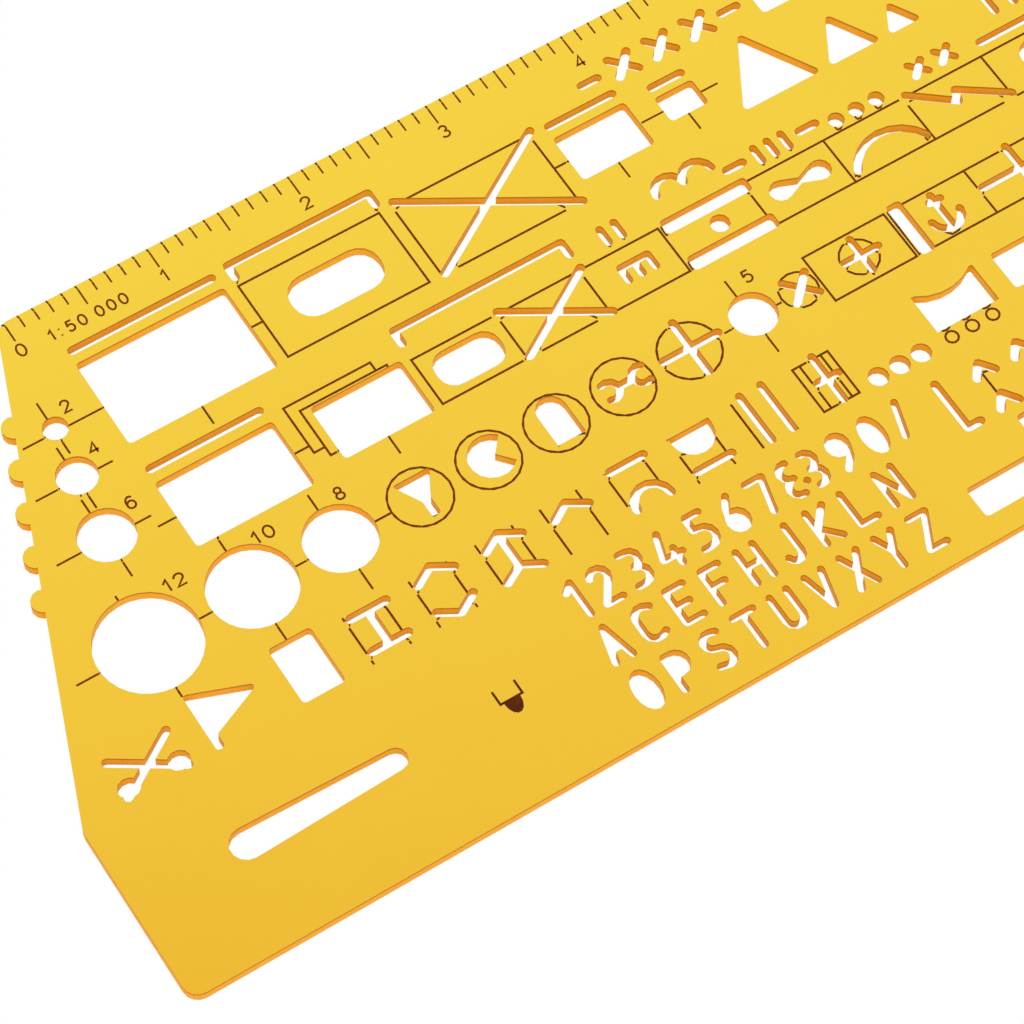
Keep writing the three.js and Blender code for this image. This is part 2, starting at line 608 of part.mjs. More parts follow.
print(
  'print_arch_cell',
  level(bars.right + ink.clearance, flash.left - flashGap, band.top),
  level(bars.right + ink.clearance, flash.right - 1.25, band.foot),
  post(wall(5), band.top - edge, band.foot + edge),
  post(wall(6), flash.top - 1, band.foot + edge),
);
print(
  'print_last_cell',
  inkLine([flash.left + 1.4, band.top], [wall(8), band.top], [wall(8), band.foot],
    [flash.right + flashGap + 0.1, band.foot]),
  post(wall(7), band.top - edge, flash.foot + 1),
);

// Rings in row three: four whole ones, and those that a cross divides
for (let i = 0; i < 4; i++) {
  const parts = [inkRing(ringX(i), ringRow.y, ringRow.radius)];
  if (i === 0) {
    parts.push(level(holeEdge - holeRow.web + ink.clearance, ringX(0) - ringRow.radius, ringRow.y));
  }
  print(`print_ring_${i + 1}`, ...parts);
}
const quarters = ['right_top', 'left_top', 'left_foot', 'right_foot'];
function dividedRing(name, x, y, radius, width, turn) {
  const reach = width / 2 + ink.clearance + 0.35;
  const gap = THREE.MathUtils.radToDeg(Math.asin(reach / (radius - edge)));
  quarters.forEach((quarter, i) => {
    const from = 90 * i + turn;
    print(`${name}_${quarter}`, inkArc(x, y, radius, from + gap, from + 90 - gap));
  });
}
dividedRing('print_cross_ring', ringCross.x, ringRow.y, ringRow.radius, slot, 0);
dividedRing('print_saltire_ring', ringSaltire.x, smallRing.y, smallRing.radius, ringSaltire.width, 45);
dividedRing('print_cell_ring', cellCross.x, smallRing.y, smallRing.radius, cellCross.width, 0);

// The band of cells in row three
const uprightBar = windowOf('bar_upright');
print('print_ring_cell', inkFrame(lowBand.left, lowBand.foot, lowWall(1), lowBand.top));
const crossGap = slot / 2 + ink.clearance;
const crossLeft = wideCross.x - crossGap;
const crossRight = wideCross.x + crossGap;
print(
  'print_anchor_cell_top',
  level(uprightBar.right + ink.clearance, crossLeft, lowBand.top),
  post(lowWall(2), lowBand.top - edge, wideCross.y + crossGap),
);
print(
  'print_anchor_cell_foot',
  level(uprightBar.right + ink.clearance, crossLeft, lowBand.foot),
  post(lowWall(2), lowBand.foot + edge, wideCross.y - crossGap),
);
const bandEnd = wideCross.x + wideCross.halfX + 0.1;
print('print_cross_cell_top', inkLine([crossRight, lowBand.top], [bandEnd, lowBand.top],
  [bandEnd, wideCross.y + crossGap]));
print('print_cross_cell_foot', inkLine([crossRight, lowBand.foot], [bandEnd, lowBand.foot],
  [bandEnd, wideCross.y - crossGap]));

// Rails on both sides of the symbols in row four, where they run clear of the slots
const wholeRail = [railRow.top, railRow.foot];
const between = [-57.11, -60.74];
const rails = [
  { name: 'beam', left: 14.07, right: 19.15, leftSpans: [between], rightSpans: [between] },
  { name: 'hexagon', left: 23.15, right: 28.25, leftSpans: [[-57.55, -60.38]], rightSpans: [[-57.5, -60.42]] },
  { name: 'pylon', left: 32.32, right: 37.4, leftSpans: [[-57.98, -61.2]], rightSpans: [[-57.95, -61.23]] },
  {
    name: 'roof',
    left: 41.36,
    right: 46.45,
    leftSpans: [[-58.86, railRow.foot], [railRow.top, -57.3]],
    rightSpans: [[-58.86, railRow.foot], [railRow.top, -57.24]],
  },
  { name: 'shelter', left: 50.47, right: 55.55, leftSpans: [[-56.66, -60.5]], rightSpans: [[-56.66, -59.9]] },
  { name: 'bowl', left: 59.48, right: 64.6, leftSpans: [[-58.3, -60.74]], rightSpans: [[-58.15, -60.74]] },
  { name: 'gate', left: 68.65, right: 73.62, leftSpans: [wholeRail], rightSpans: [wholeRail] },
];
for (const { name, left, right, leftSpans, rightSpans } of rails) {
  leftSpans.forEach((span, i) => print(`print_${name}_rail_left${i ? '_top' : ''}`, post(left, ...span)));
  rightSpans.forEach((span, i) => print(`print_${name}_rail_right${i ? '_top' : ''}`, post(right, ...span)));
}

// The barred box behind the upright cross, in a left and a right half
const barredBox = { left: 77.62, right: 82.78, top: -55.35, foot: -62.2, inset: 1.05 };
const boxGap = boxCross.width / 2 + ink.clearance;
function boxHalf(side, outer) {
  const bar = outer - side * barredBox.inset;
  const inner = boxCross.x + side * boxGap;
  const armTop = boxCross.y + boxGap;
  const armFoot = boxCross.y - boxGap;
  return [
    inkLine([inner, barredBox.top], [outer, barredBox.top], [outer, barredBox.foot],
      [inner, barredBox.foot]),
    post(bar, barredBox.top - edge, armTop),
    post(bar, barredBox.foot + edge, armFoot),
  ];
}
print('print_box_left', ...boxHalf(-1, barredBox.left));
print('print_box_right', ...boxHalf(1, barredBox.right));

// Three small circles under the sagging window, a hanging lamp, and a stem between chevrons
const smallCircle = { first: sagWindow.left + 1.55, pitch: 3.04, y: sagWindow.foot - 0.98, radius: 0.83 };
for (let i = 0; i < 3; i++) {
  const x = smallCircle.first + i * smallCircle.pitch;
  print(`print_small_circle_${i + 1}`, inkRing(x, smallCircle.y, smallCircle.radius, fineError));
}
const lamp = { x: 25.2, top: -72.75, hem: -74.65, halfWidth: 1.5, bowl: 1.1, depth: 1.85 };
print(
  'print_lamp',
  inkLine([lamp.x - lamp.halfWidth, lamp.top], [lamp.x - lamp.halfWidth, lamp.hem],
    [lamp.x + lamp.halfWidth, lamp.hem], [lamp.x + lamp.halfWidth, lamp.top]),
  inkPrism(arc(lamp.x, lamp.hem - edge, lamp.bowl, -180, 0, lamp.depth)),
);
print('print_chevron_stem', post(chevronPair.left, chevronPair.upper - 1.1, chevronPair.lower + 0.7));

// The plate, with every cut taken out and a seat for each printed figure
function plateSolid() {
  const through = cuts.map((outlines) => joined(outlines.map((outline) => prism(
    outline,
    -overcut,
    sheet.thickness + overcut,
  ))));
  const seats = prints.map(({ solid }) => solid);
  return sheetBlank().subtract(joined([...through, ...seats]));
}

const amber = new THREE.MeshStandardMaterial({ color: 0xf8cf44, roughness: 0.25, side: THREE.DoubleSide });
amber.name = 'amber_plastic';
const inkColour = 0x3a2114;

const group = new THREE.Group();
group.name = 'map_symbol_stencil';
group.add(meshOf('plate', plateSolid(), amber));
for (const { name, solid } of prints) {
  const material = new THREE.MeshStandardMaterial({ color: inkColour, roughness: 0.6 });
  material.name = 'print_ink';
  group.add(meshOf(name, solid, material));
}

// The origin stands under the middle of the sheet
group.position.set(-(sheetEnds.left + sheetEnds.right) / 2, -sheetEnds.foot / 2, 0);
group.updateMatrixWorld(true);

export default group;
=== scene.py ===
import math

import bmesh
import bpy
from mathutils import Matrix, Vector
from mathutils.bvhtree import BVHTree


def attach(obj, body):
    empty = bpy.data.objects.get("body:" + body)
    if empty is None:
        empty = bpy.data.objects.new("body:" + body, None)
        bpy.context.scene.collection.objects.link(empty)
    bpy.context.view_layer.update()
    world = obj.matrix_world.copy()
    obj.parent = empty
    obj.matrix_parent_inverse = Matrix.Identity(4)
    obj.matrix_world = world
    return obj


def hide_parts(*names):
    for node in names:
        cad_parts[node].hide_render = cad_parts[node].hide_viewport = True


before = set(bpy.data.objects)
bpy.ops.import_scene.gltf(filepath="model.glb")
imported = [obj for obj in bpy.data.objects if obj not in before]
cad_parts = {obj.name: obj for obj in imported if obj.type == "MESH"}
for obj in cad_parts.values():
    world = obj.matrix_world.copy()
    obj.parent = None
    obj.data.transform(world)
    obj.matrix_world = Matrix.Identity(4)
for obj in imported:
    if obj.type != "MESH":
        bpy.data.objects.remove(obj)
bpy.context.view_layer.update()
print("frame loaded:", len(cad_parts), "solids")

scene = bpy.context.scene
scene.view_settings.view_transform = "Standard"

mm = 0.001

# the drawing counts from the first tick of the scale, the part from its own middle
drawing = {
    "middleX": 62.4,
    "middleY": -43.875,
}


def place(x, y, z=0.0):
    return Vector(((x - drawing["middleX"]) * mm, (y - drawing["middleY"]) * mm, z * mm))


# camera: where it stands, in metres, and its own axes
view = {
    "eye": (-0.1605, -0.20853, 0.4375),
    "right": (0.8433, -0.5371, 0.0196),
    "up": (0.4626, 0.7438, 0.4825),
    "back": (-0.2737, -0.3978, 0.8757),
    "lens": 148.4,
    "sensor": 36.0,
    "nearest": 0.01,
    "farthest": 20.0,
}


def addCamera():
    data = bpy.data.cameras.new("viewCamera")
    data.lens = view["lens"]
    data.sensor_width = view["sensor"]
    data.sensor_fit = "HORIZONTAL"
    data.clip_start = view["nearest"]
    data.clip_end = view["farthest"]
    camera = bpy.data.objects.new("viewCamera", data)
    scene.collection.objects.link(camera)
    axes = Matrix((view["right"], view["up"], view["back"])).transposed().to_4x4()
    camera.matrix_world = Matrix.Translation(view["eye"]) @ axes
    scene.camera = camera


addCamera()
print("camera placed")


# small helpers for node trees
def addNode(tree, kind, settings=None, inputs=None):
    made = tree.nodes.new(kind)
    for key, value in (settings or {}).items():
        setattr(made, key, value)
    for key, value in (inputs or {}).items():
        if isinstance(value, bpy.types.NodeSocket):
            tree.links.new(value, made.inputs[key])
        else:
            made.inputs[key].default_value = value
    return made


def combine(tree, operation, first, second, clamped=False):
    made = addNode(tree, "ShaderNodeMath", {"operation": operation, "use_clamp": clamped},
                   {0: first, 1: second})
    return made.outputs[0]


def spread(tree, value, start, end, low=0.0, high=1.0):
    # the value's range from start to end becomes low to high
    made = addNode(tree, "ShaderNodeMapRange", None, {
        "Value": value, "From Min": start, "From Max": end, "To Min": low, "To Max": high})
    return made.outputs["Result"]


def mixColors(tree, share, first, second):
    # a Mix node keeps its two colours in sockets 6 and 7, and gives the mixed one from socket 2
    made = addNode(tree, "ShaderNodeMix", {"data_type": "RGBA"}, {0: share, 6: first, 7: second})
    return made.outputs[2]


def mixShaders(tree, share, first, second):
    made = addNode(tree, "ShaderNodeMixShader", None, {0: share, 1: first, 2: second})
    return made.outputs[0]


def noiseAt(tree, vector, scale, detail):
    made = addNode(tree, "ShaderNodeTexNoise", None, {"Vector": vector, "Scale": scale, "Detail": detail})
    return made.outputs["Fac"]


def placeOnPart(tree):
    return addNode(tree, "ShaderNodeTexCoord").outputs["Object"]


def newGroup(name, inputs, outputs):
    group = bpy.data.node_groups.new(name, "ShaderNodeTree")
    for label, start in inputs.items():
        socket = group.interface.new_socket(name=label, in_out="INPUT", socket_type="NodeSocketFloat")
        socket.default_value = start
    for label, kind in outputs.items():
        group.interface.new_socket(name=label, in_out="OUTPUT", socket_type=kind)
    given = group.nodes.new("NodeGroupInput")
    result = group.nodes.new("NodeGroupOutput")
    return group, given, result


def useGroup(tree, group, inputs=None):
    return addNode(tree, "ShaderNodeGroup", {"node_tree": group}, inputs).outputs[0]


def newMaterial(name):
    material = bpy.data.materials.new(name)
    material.use_nodes = True
    tree = material.node_tree
    tree.nodes.clear()
    output = tree.nodes.new("ShaderNodeOutputMaterial")
    return material, tree, output


# hairline scratches, long one way and very thin the other, in patches
scratchForm = {
    "detail": 1.0,
    "line": (0.66, 0.74),
    "patchScale": 55.0,
    "patch": (0.42, 0.62),
}


def makeHairScratches():
    group, given, result = newGroup(
        "hairScratches",
        {"Turn": 0.0, "Along": 60.0, "Across": 6000.0, "Amount": 1.0},
        {"Mask": "NodeSocketFloat"},
    )
    spot = placeOnPart(group)
    turned = addNode(group, "ShaderNodeVectorRotate", {"rotation_type": "Z_AXIS"},
                     {"Vector": spot, "Angle": given.outputs["Turn"]})
    along, across = given.outputs["Along"], given.outputs["Across"]
    sizes = addNode(group, "ShaderNodeCombineXYZ", None, {"X": along, "Y": across, "Z": along})
    drawn = addNode(group, "ShaderNodeVectorMath", {"operation": "MULTIPLY"},
                    {0: turned.outputs["Vector"], 1: sizes.outputs["Vector"]})
    streaks = noiseAt(group, drawn.outputs["Vector"], 1.0, scratchForm["detail"])
    thin = spread(group, streaks, *scratchForm["line"])
    where = noiseAt(group, spot, scratchForm["patchScale"], scratchForm["detail"])
    kept = combine(group, "MULTIPLY", thin, spread(group, where, *scratchForm["patch"]))
    mask = combine(group, "MULTIPLY", kept, given.outputs["Amount"])
    group.links.new(mask, result.inputs["Mask"])
    return group


# soft clouds: how evenly the plastic or the ink came out
cloudForm = {
    "detail": 3.0,
    "range": (0.3, 0.7),
}


def makeClouds():
    group, given, result = newGroup(
        "clouds",
        {"Scale": 40.0, "Low": 0.0, "High": 1.0},
        {"Value": "NodeSocketFloat"},
    )
    noise = noiseAt(group, placeOnPart(group), given.outputs["Scale"], cloudForm["detail"])
    value = spread(group, noise, *cloudForm["range"], given.outputs["Low"], given.outputs["High"])
    group.links.new(value, result.inputs["Value"])
    return group


# scattered specks: dust on the sheet, pinholes in the ink
def makeSpecks():
    group, given, result = newGroup(
        "specks",
        {"Scale": 900.0, "Size": 0.12, "Share": 0.5},
        {"Mask": "NodeSocketFloat"},
    )
    cells = addNode(group, "ShaderNodeTexVoronoi", None,
                    {"Vector": placeOnPart(group), "Scale": given.outputs["Scale"], "Randomness": 1.0})
    near = combine(group, "LESS_THAN", cells.outputs["Distance"], given.outputs["Size"])
    parts = addNode(group, "ShaderNodeSeparateColor", None, {"Color": cells.outputs["Color"]})
    chosen = combine(group, "LESS_THAN", parts.outputs["Red"], given.outputs["Share"])
    group.links.new(combine(group, "MULTIPLY", near, chosen), result.inputs["Mask"])
    return group


hairScratches = makeHairScratches()
clouds = makeClouds()
specks = makeSpecks()
print("node groups made")

# clear amber plastic: both faces of the sheet
amber = {
    # the foot tint and the spans that lead to it are painted shade: the sheet darker towards the foot and
    # the slanted end
    "headTint": (1.0, 0.695, 0.058, 1.0),
    "footTintPaintedShade": (0.925, 0.530, 0.034, 1.0),
    "paintedShadeHeadToFoot": (0.044, -0.044),  # along Y, in metres
    "paintedShadeSquareToSlant": (0.025, -0.085),  # along X, in metres
    "paintedShadeSquareEndShare": 0.45,
    "unevenScale": 22.0,
    "uneven": 0.06,
    "ior": 1.49,
    "roughness": 0.03,
    "scratchRoughness": 0.10,
    "oneWay": {"Turn": 0.35, "Along": 45.0, "Across": 5200.0, "Amount": 0.8},
    "otherWay": {"Turn": -1.1, "Along": 70.0, "Across": 6800.0, "Amount": 0.5},
    "dust": {"Scale": 420.0, "Size": 0.05, "Share": 0.25},
    "scratchDepth": 0.000006,
    "scratchStrength": 0.35,
    "ripple": {"Scale": 60.0, "Low": 0.0, "High": 1.0},
    "rippleDepth": 0.00003,
    "rippleStrength": 0.25,
}


def amberTint(tree):
    # painted shade: the tint darkens towards the foot, most of all at the slanted end; apart from that
    # the plastic's own tone is never quite even
    parts = addNode(tree, "ShaderNodeSeparateXYZ", None, {"Vector": placeOnPart(tree)})
    shadeToFoot = spread(tree, parts.outputs["Y"], *amber["paintedShadeHeadToFoot"])
    shadeToSlant = spread(tree, parts.outputs["X"], *amber["paintedShadeSquareToSlant"], amber["paintedShadeSquareEndShare"])
    paintedShade = combine(tree, "MULTIPLY", shadeToFoot, shadeToSlant)
    uneven = useGroup(tree, clouds, {
        "Scale": amber["unevenScale"], "Low": -amber["uneven"], "High": amber["uneven"]})
    share = combine(tree, "ADD", paintedShade, uneven, clamped=True)
    return mixColors(tree, share, amber["headTint"], amber["footTintPaintedShade"])


def makeAmberPlastic():
    material, tree, output = newMaterial("amberPlastic")
    marks = combine(tree, "MAXIMUM", useGroup(tree, hairScratches, amber["oneWay"]),
                    useGroup(tree, hairScratches, amber["otherWay"]))
    rubbed = combine(tree, "MAXIMUM", marks, useGroup(tree, specks, amber["dust"]))
    rough = spread(tree, rubbed, 0.0, 1.0, amber["roughness"], amber["scratchRoughness"])
    ripple = addNode(tree, "ShaderNodeBump", None, {
        "Strength": amber["rippleStrength"],
        "Distance": amber["rippleDepth"],
        "Height": useGroup(tree, clouds, amber["ripple"]),
    })
    cutIn = addNode(tree, "ShaderNodeBump", {"invert": True}, {
        "Strength": amber["scratchStrength"],
        "Distance": amber["scratchDepth"],
        "Height": marks,
        "Normal": ripple.outputs["Normal"],
    })
    # the base colour carries painted shade, darker towards the foot and the slanted end
    shader = addNode(tree, "ShaderNodeBsdfPrincipled", None, {
        "Base Color": amberTint(tree),
        "Roughness": rough,
        "IOR": amber["ior"],
        "Transmission Weight": 1.0,
        "Normal": cutIn.outputs["Normal"],
    })
    tree.links.new(shader.outputs[0], output.inputs["Surface"])
    return material


# the walls of the cuts: a deeper orange from outside, with a painted darker rim along the top edge and a
# painted glow, and clear from inside the plastic
cutWall = {
    "color": (0.580, 0.228, 0.006, 1.0),
    "paleColor": (0.550, 0.262, 0.016, 1.0),
    "patches": {"Scale": 210.0, "Low": 0.0, "High": 1.0},
    # a darker rim painted along the top of the wall, as shade
    "rimPaintedShade": (0.360, 0.118, 0.001, 1.0),
    "rimFoot": 1.22 * mm,
    "rimHead": 1.32 * mm,
    # a painted glow, as if light came through the plastic
    "paintedGlow": 0.42,
    "gloss": 0.08,
    "roughness": (0.42, 0.62),
    "cutterLines": (7000.0, 7000.0, 250.0),
    "cutterDetail": 2.0,
    "cutterRange": (0.3, 0.7),
    "cutterDepth": 0.00001,
    "cutterStrength": 0.5,
    "insideRoughness": 0.05,
}


def makeCutWall():
    material, tree, output = newMaterial("cutWall")
    spot = placeOnPart(tree)
    parts = addNode(tree, "ShaderNodeSeparateXYZ", None, {"Vector": spot})
    patches = useGroup(tree, clouds, cutWall["patches"])
    body = mixColors(tree, patches, cutWall["color"], cutWall["paleColor"])
    # painted shade: the wall darkens to a brown line at its top edge
    rim = spread(tree, parts.outputs["Z"], cutWall["rimFoot"], cutWall["rimHead"])
    color = mixColors(tree, rim, body, cutWall["rimPaintedShade"])

    # faint upright lines left by the cutter
    sizes = addNode(tree, "ShaderNodeVectorMath", {"operation": "MULTIPLY"},
                    {0: spot, 1: cutWall["cutterLines"]})
    lines = noiseAt(tree, sizes.outputs["Vector"], 1.0, cutWall["cutterDetail"])
    relief = addNode(tree, "ShaderNodeBump", None, {
        "Strength": cutWall["cutterStrength"],
        "Distance": cutWall["cutterDepth"],
        "Height": lines,
    })
    outside = addNode(tree, "ShaderNodeBsdfPrincipled", None, {
        "Base Color": color,
        "Roughness": spread(tree, lines, *cutWall["cutterRange"], *cutWall["roughness"]),
        "IOR": amber["ior"],
        "Specular IOR Level": cutWall["gloss"],
        # painted glow: the wall's own colour given off as light, standing in for light coming through the
        # plastic
        "Emission Color": color,
        "Emission Strength": cutWall["paintedGlow"],
        "Normal": relief.outputs["Normal"],
    })
    inside = addNode(tree, "ShaderNodeBsdfPrincipled", None, {
        "Base Color": amberTint(tree),
        "Roughness": cutWall["insideRoughness"],
        "IOR": amber["ior"],
        "Transmission Weight": 1.0,
    })
    facing = addNode(tree, "ShaderNodeNewGeometry")
    both = mixShaders(tree, facing.outputs["Backfacing"], outside.outputs[0], inside.outputs[0])
    tree.links.new(both, output.inputs["Surface"])
    return material


# brown printing ink on the underside, darker where it covers a whole patch
ink = {
    "line": {"full": (0.380, 0.094, 0.003, 1.0), "thin": (0.470, 0.130, 0.005, 1.0)},
    "patch": {"full": (0.210, 0.046, 0.003, 1.0), "thin": (0.270, 0.066, 0.004, 1.0)},
    "cover": {"Scale": 700.0, "Low": 0.0, "High": 1.0},
    "pinholes": {"Scale": 5200.0, "Size": 0.16, "Share": 0.10},
    "pinholeColor": (0.40, 0.18, 0.02, 1.0),
    "roughness": (0.45, 0.70),
    "reliefDepth": 0.000008,
    "reliefStrength": 0.4,
}


def makePrintInk(name, shade):
    material, tree, output = newMaterial(name)
    cover = useGroup(tree, clouds, ink["cover"])
    tint = mixColors(tree, cover, shade["full"], shade["thin"])
    marked = mixColors(tree, useGroup(tree, specks, ink["pinholes"]), tint, ink["pinholeColor"])
    relief = addNode(tree, "ShaderNodeBump", None, {
        "Strength": ink["reliefStrength"],
        "Distance": ink["reliefDepth"],
        "Height": cover,
    })
    shader = addNode(tree, "ShaderNodeBsdfPrincipled", None, {
        "Base Color": marked,
        "Roughness": spread(tree, cover, 0.0, 1.0, *ink["roughness"]),
        "Normal": relief.outputs["Normal"],
    })
    tree.links.new(shader.outputs[0], output.inputs["Surface"])
    return material


amberPlastic = makeAmberPlastic()
cutWallFinish = makeCutWall()
printInk = makePrintInk("printInk", ink["line"])
solidInk = makePrintInk("solidInk", ink["patch"])
print("materials made")

# the sheet itself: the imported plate, with its cut walls given their own finish
sheet = {
    "levelShare": 0.5,  # a face whose normal rises less than this is a cut wall
    "sharpAngle": 32.0,
    "mergeDistance": 1e-8,
}


def makeStencilSheet():
    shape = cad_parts["plate"].data
    bm = bmesh.new()
    points = [bm.verts.new(point.co) for point in shape.vertices]
    for polygon in shape.polygons:
        bm.faces.new([points[i] for i in polygon.vertices])
    bmesh.ops.remove_doubles(bm, verts=bm.verts, dist=sheet["mergeDistance"])
    bm.normal_update()
    print("sheet:", len(bm.verts), "points,", len(bm.faces), "faces")
    for face in bm.faces:
        upright = abs(face.normal.z) < sheet["levelShare"]
        face.material_index = 1 if upright else 0
        face.smooth = upright
    for edge in bm.edges:
        if len(edge.link_faces) == 2:
            edge.smooth = edge.calc_face_angle(0.0) < math.radians(sheet["sharpAngle"])
    mesh = bpy.data.meshes.new("stencilSheet")
    bm.to_mesh(mesh)
    bm.free()
    mesh.materials.append(amberPlastic)
    mesh.materials.append(cutWallFinish)
    piece = bpy.data.objects.new("stencilSheet", mesh)
    scene.collection.objects.link(piece)
    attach(piece, "root")
    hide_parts("plate")
    return piece


stencilSheet = makeStencilSheet()
print("sheet made")

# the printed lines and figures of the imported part, let a hair into the plastic
printedNodes = {
    "patches": ("print_lamp",),
    "swell": 0.01 * mm,
    "lift": 0.01 * mm,
}


def dressPrintedNodes():
    for name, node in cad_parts.items():
        if name == "plate":
            continue
        node.data.materials.clear()
        node.data.materials.append(solidInk if name in printedNodes["patches"] else printInk)
        swell = node.modifiers.new("swell", "DISPLACE")
        swell.mid_level = 0.0
        swell.strength = printedNodes["swell"]
        lift = node.modifiers.new("lift", "DISPLACE")
        lift.direction = "Z"
        lift.mid_level = 0.0
        lift.strength = printedNodes["lift"]


dressPrintedNodes()
print("printed nodes dressed")

# thin print, laid in the underside of the sheet, in millimetres
penLine = {
    "width": 0.27,
    "low": 0.004,
    "high": 0.05,
    "probe": 0.05,
    "shortest": 0.06,
    "lapSteps": 2,  # in probe lengths
    "strokeRise": 0.002,
    "sharpestMitre": 0.5,
    "seatDepth": 0.01,
    "probeFrom": -1.0,
    "probeReach": 3.0,
}
underside = BVHTree.FromObject(stencilSheet, bpy.context.evaluated_depsgraph_get())


def whatIsAt(x, y):
    # bare plastic, the seat of other print, or a cut
    upwards = Vector((0, 0, 1))
    start = place(x, y, penLine["probeFrom"])
    hit = underside.ray_cast(start, upwards, penLine["probeReach"] * mm)[0]
    if hit is None:
        return "cut"
    return "bare" if hit.z < penLine["seatDepth"] * mm else "print"


# the print is seen through the sheet, which shifts it in the picture
throughSheet = {
    "shiftX": 0.22,
    "shiftXPerMm": 0.002,
    "upperShiftY": 0.50,
    "lowerShiftY": 0.47,
    "lowerRowsFrom": -39.0,
}


def seen(x, y):
    # where a line drawn at this spot of the picture really lies
    upper = y > throughSheet["lowerRowsFrom"]
    shiftY = throughSheet["upperShiftY"] if upper else throughSheet["lowerShiftY"]
    return (x + throughSheet["shiftX"] + throughSheet["shiftXPerMm"] * x, y + shiftY)


def inkPiece(name, bm):
    bmesh.ops.recalc_face_normals(bm, faces=bm.faces)
    mesh = bpy.data.meshes.new(name)
    bm.to_mesh(mesh)
    bm.free()
    mesh.materials.append(printInk)
    piece = bpy.data.objects.new(name, mesh)
    scene.collection.objects.link(piece)
    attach(piece, "root")
    return piece


def addRibbon(bm, path, width, closed=False, rise=0.0):
    # a flat pen line of even width along a path, as one closed body
    low, high = penLine["low"] + rise, penLine["high"] + rise
    count = len(path)
    corners = []
    for i, (x, y) in enumerate(path):
        before = path[i - 1] if i > 0 or closed else None
        after = path[(i + 1) % count] if i < count - 1 or closed else None
        ways = []
        for start, end in ((before, (x, y)), ((x, y), after)):
            if start is not None and end is not None:
                ways.append(Vector((end[0] - start[0], end[1] - start[1])).normalized())
        way = sum(ways, Vector((0.0, 0.0))).normalized()
        stretch = 1.0 / max(way.dot(ways[0]), penLine["sharpestMitre"])
        side = Vector((-way.y, way.x)) * (width / 2 * stretch)
        corners.append([bm.verts.new(place(x + k * side.x, y + k * side.y, z))
                        for k, z in ((1, low), (-1, low), (-1, high), (1, high))])
    for i in range(count if closed else count - 1):
        near, far = corners[i], corners[(i + 1) % count]
        for k in range(4):
            m = (k + 1) % 4
            bm.faces.new((near[k], near[m], far[m], far[k]))
    if not closed:
        bm.faces.new(list(reversed(corners[0])))
        bm.faces.new(corners[-1])


def groundUnder(spots, width):
    # what lies under the two edges and the middle of a line, at each of its spots
    ground = []
    for i, (x, y) in enumerate(spots):
        back, on = spots[max(i - 1, 0)], spots[min(i + 1, len(spots) - 1)]
        way = Vector((on[0] - back[0], on[1] - back[1])).normalized()
        side = Vector((-way.y, way.x)) * (width / 2)
        ground.append({whatIsAt(x + k * side.x, y + k * side.y) for k in (-1, 0, 1)})
    return ground


def bareRuns(ground):
    # the first spot of each run over bare plastic, and the spot that follows its last one
    runs = []
    first = None
    for i, kinds in enumerate(ground + [set()]):
        bare = kinds == {"bare"}
        if bare and first is None:
            first = i
        elif not bare and first is not None:
            runs.append((first, i))
            first = None
    return runs


def addPenLine(bm, spots, width, straight):
    # a pen line through close spots, which stops at each cut and laps a little over other print
    ground = groundUnder(spots, width)
    lap = penLine["lapSteps"]
    for first, after in bareRuns(ground):
        start, end = max(first - lap, 0), min(after + lap, len(spots))
        if any("cut" in kinds for kinds in ground[start:first]):
            start = first
        if any("cut" in kinds for kinds in ground[after:end]):
            end = after
        run = spots[start:end]
        if math.dist(run[0], run[-1]) > penLine["shortest"]:
            addRibbon(bm, [run[0], run[-1]] if straight else run, width)


def addLine(bm, start, end, width):
    steps = max(2, int(math.dist(start, end) / penLine["probe"]))
    spots = [tuple(Vector(start).lerp(Vector(end), i / steps)) for i in range(steps + 1)]
    addPenLine(bm, spots, width, True)


def addArc(bm, x, y, radius, start, end):
    steps = int(math.radians(end - start) * radius / penLine["probe"])
    turns = [math.radians(start + (end - start) * i / steps) for i in range(steps + 1)]
    spots = [(x + radius * math.cos(turn), y + radius * math.sin(turn)) for turn in turns]
    addPenLine(bm, spots, penLine["width"], False)


def addLines(name, lines, width=penLine["width"]):
    bm = bmesh.new()
    for x0, y0, x1, y1 in lines:
        addLine(bm, (x0, y0), (x1, y1), width)
    return inkPiece(name, bm)


# the scale along the upper edge
scale = {
    "first": 0.0,
    "last": 140.0,
    "step": 2.0,
    "longEvery": 5,
    "short": 1.85,
    "long": 3.0,
    "inset": 0.03,
    "pen": 0.24,
    "figureEvery": 20.0,
    "figureHead": -3.45,
    "figureFoot": -5.42,
    "figureWidth": 1.38,
    "figureCount": 8,
    "oneShift": -0.16,
    "ratio": "1:50 000",
    "ratioFit": (3.68, 14.62, -5.47, -3.72),
}


def makeScaleTicks():
    lines = []
    count = int((scale["last"] - scale["first"]) / scale["step"]) + 1
    for i in range(count):
        x = scale["first"] + i * scale["step"]
        reach = scale["long"] if i % scale["longEvery"] == 0 else scale["short"]
        atX, atY = seen(x, -reach)
        lines.append((atX, atY, atX, -scale["inset"]))
    return addLines("scaleTicks", lines, scale["pen"])


makeScaleTicks()


# figures drawn with one pen: each is a list of strokes in a box one wide and one high
def bend(x, y, radiusX, radiusY, start, end, count=14):
    turns = [math.radians(start + (end - start) * i / count) for i in range(count + 1)]
    return [(x + radiusX * math.cos(a), y + radiusY * math.sin(a)) for a in turns]


